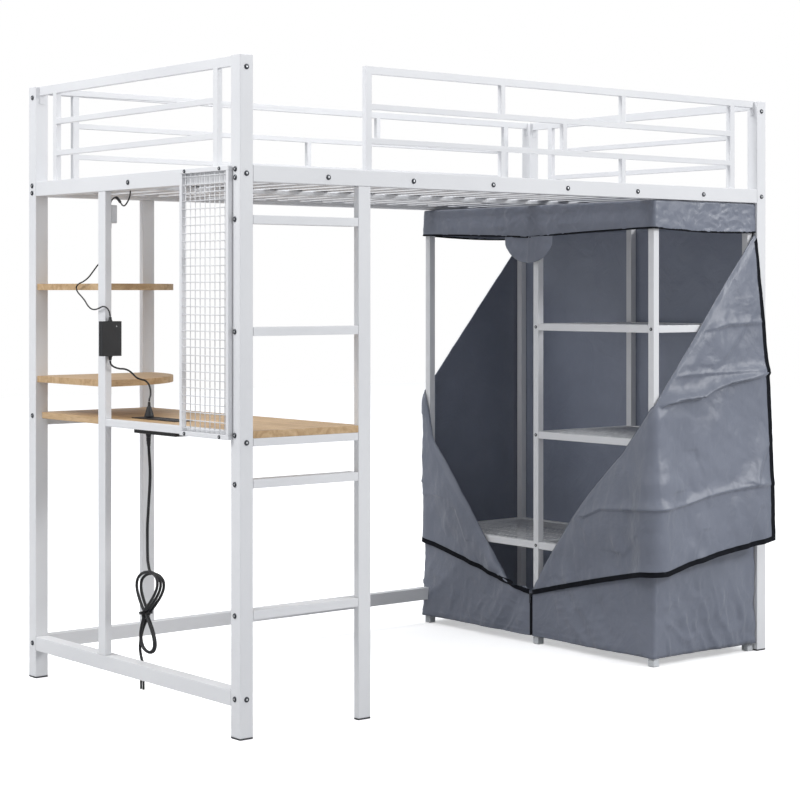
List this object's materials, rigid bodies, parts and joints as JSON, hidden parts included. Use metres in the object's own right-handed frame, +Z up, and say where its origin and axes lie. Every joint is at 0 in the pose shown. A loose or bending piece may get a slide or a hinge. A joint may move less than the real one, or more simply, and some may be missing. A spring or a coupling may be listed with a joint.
{
  "type": "loft bed with desk",
  "caption": "White metal loft bed with a desk and corner shelves under one end and a cloth-covered wardrobe under the other.",
  "frame": {"origin": "bottom centre of everything but the loose cords, on the floor", "axes": "+X along the bed from the desk end to the wardrobe end, +Y from the ladder side to the wall side, +Z up"},
  "size_m": [2.0005, 1.212, 1.704],
  "materials": {
    "white_steel": "white powder coat, satin",
    "oak_board": "light oak faced board, matt",
    "cover_fabric": "blue-grey non-woven cloth",
    "foot_plastic": "dark moulded plastic",
    "black_plastic": "black moulded plastic",
    "grey_plastic": "light grey moulded plastic",
    "black_cord": "black flexible jacket",
    "zip_metal": "dark plated"
  },
  "bodies": {
    "root": {"post_front_left": "white_steel", "foot_cap_front_left": "foot_plastic", "post_front_right": "white_steel", "foot_cap_front_right": "foot_plastic", "post_back_left": "white_steel", "foot_cap_back_left": "foot_plastic", "post_back_right": "white_steel", "foot_cap_back_right": "foot_plastic", "ladder_post": "white_steel", "foot_cap_ladder": "foot_plastic", "end_middle_post": "white_steel", "back_middle_post": "white_steel", "bed_rail_front": "white_steel", "bed_rail_back": "white_steel", "bed_rail_left": "white_steel", "bed_rail_right": "white_steel", "low_rail_left": "white_steel", "low_rail_right": "white_steel", "low_rail_back": "white_steel", "ladder_rung_1": "white_steel", "ladder_rung_2": "white_steel", "ladder_rung_3": "white_steel", "ladder_rung_4": "white_steel", "centre_beam": "white_steel", "slat_base": "white_steel", "guard_front": "white_steel", "guard_back": "white_steel", "guard_left": "white_steel", "guard_right": "white_steel", "desk_rail_front": "white_steel", "desk_rail_back": "white_steel", "desk_rail_end": "white_steel", "desk_rail_cross": "white_steel", "desk_board": "oak_board", "corner_shelf_1": "oak_board", "corner_shelf_2": "oak_board", "wall_grid": "white_steel", "wardrobe_frame": "white_steel", "wardrobe_shelf_low": "white_steel", "wardrobe_shelf_mid": "white_steel", "wardrobe_shelf_high": "white_steel", "cover_top": "cover_fabric", "cover_back": "cover_fabric", "cover_panel_near": "cover_fabric", "cover_panel_far": "cover_fabric", "cover_flap_near": "cover_fabric", "cover_flap_far": "cover_fabric", "light_controller": "grey_plastic", "light_strip": "grey_plastic", "adapter": "black_plastic", "power_strip": "black_plastic", "lamp_plug": "black_plastic", "light_lead": "black_cord", "adapter_lead": "black_cord", "plug_lead": "black_cord", "mains_lead": "black_cord", "mains_hank": "black_cord", "mains_plug": "black_plastic"},
    "zip_slider_body": {"zip_slider": "zip_metal"},
    "zip_pull_body": {"zip_pull": "zip_metal"}
  },
  "joints": [
    {"name": "zip_slide", "type": "slide", "parent": "root", "child": "zip_slider_body", "axis": [0, 0, -1], "range_m": [0, 0.12]},
    {"name": "zip_pull_swing", "type": "hinge", "parent": "zip_slider_body", "child": "zip_pull_body", "pos_m": [0.50145, 0.006, 0.1555], "axis": [0, 1, 0], "range_deg": [0, 150]}
  ]
}
